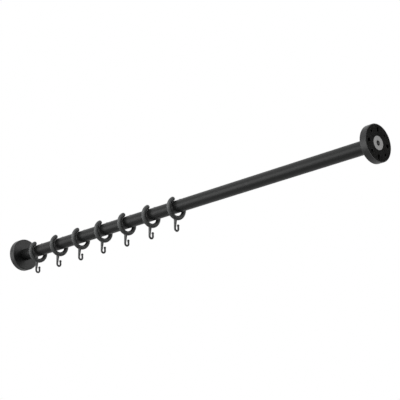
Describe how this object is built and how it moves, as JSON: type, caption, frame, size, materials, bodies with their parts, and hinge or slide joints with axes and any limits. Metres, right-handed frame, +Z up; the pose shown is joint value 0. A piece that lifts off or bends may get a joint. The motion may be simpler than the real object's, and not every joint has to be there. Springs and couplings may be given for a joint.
{
  "type": "curtain rod",
  "caption": "Straight wall-to-wall curtain rod: a matt black tube between two round flanges, with open sliding rings that carry J hooks.",
  "frame": {"origin": "centre of the left wall plate's fixing holes, on the wall, on the rod's axis", "axes": "+X along the rod to the right wall, +Y to the side that the hooks open to, +Z up"},
  "size_m": [1, 0.068, 0.0842],
  "materials": {
    "rod_coating": "matt black powder coat",
    "cover_coating": "matt black powder coat",
    "ring_plastic": "satin moulded plastic",
    "plate_plastic": "matt moulded plastic",
    "bare_steel": "turned, uncoated",
    "screw_steel": "plain steel"
  },
  "bodies": {
    "rod": {"tube": "rod_coating", "end_plug_left": "bare_steel", "wall_plate_left": "plate_plastic", "set_screw_left": "screw_steel", "end_plug_right": "bare_steel", "wall_plate_right": "plate_plastic", "set_screw_right": "screw_steel"},
    "cover_left": {"flange_cover_left": "cover_coating"},
    "cover_right": {"flange_cover_right": "cover_coating"},
    "ring_1": {"curtain_ring_1": "ring_plastic"},
    "ring_2": {"curtain_ring_2": "ring_plastic"},
    "ring_3": {"curtain_ring_3": "ring_plastic"},
    "ring_4": {"curtain_ring_4": "ring_plastic"},
    "ring_5": {"curtain_ring_5": "ring_plastic"},
    "ring_6": {"curtain_ring_6": "ring_plastic"},
    "ring_7": {"curtain_ring_7": "ring_plastic"}
  },
  "joints": [
    {"name": "cover_left_slide", "type": "slide", "parent": "rod", "child": "cover_left", "axis": [1, 0, 0], "range_m": [0, 0.02]},
    {"name": "cover_right_slide", "type": "slide", "parent": "rod", "child": "cover_right", "axis": [-1, 0, 0], "range_m": [0, 0.06]},
    {"name": "ring_1_slide", "type": "slide", "parent": "rod", "child": "ring_1", "axis": [1, 0, 0], "range_m": [-0.019, 0.032]},
    {"name": "ring_2_slide", "type": "slide", "parent": "rod", "child": "ring_2", "axis": [1, 0, 0], "range_m": [-0.032, 0.032]},
    {"name": "ring_3_slide", "type": "slide", "parent": "rod", "child": "ring_3", "axis": [1, 0, 0], "range_m": [-0.032, 0.032]},
    {"name": "ring_4_slide", "type": "slide", "parent": "rod", "child": "ring_4", "axis": [1, 0, 0], "range_m": [-0.032, 0.032]},
    {"name": "ring_5_slide", "type": "slide", "parent": "rod", "child": "ring_5", "axis": [1, 0, 0], "range_m": [-0.032, 0.032]},
    {"name": "ring_6_slide", "type": "slide", "parent": "rod", "child": "ring_6", "axis": [1, 0, 0], "range_m": [-0.032, 0.032]},
    {"name": "ring_7_slide", "type": "slide", "parent": "rod", "child": "ring_7", "axis": [1, 0, 0], "range_m": [-0.032, 0.421]}
  ]
}
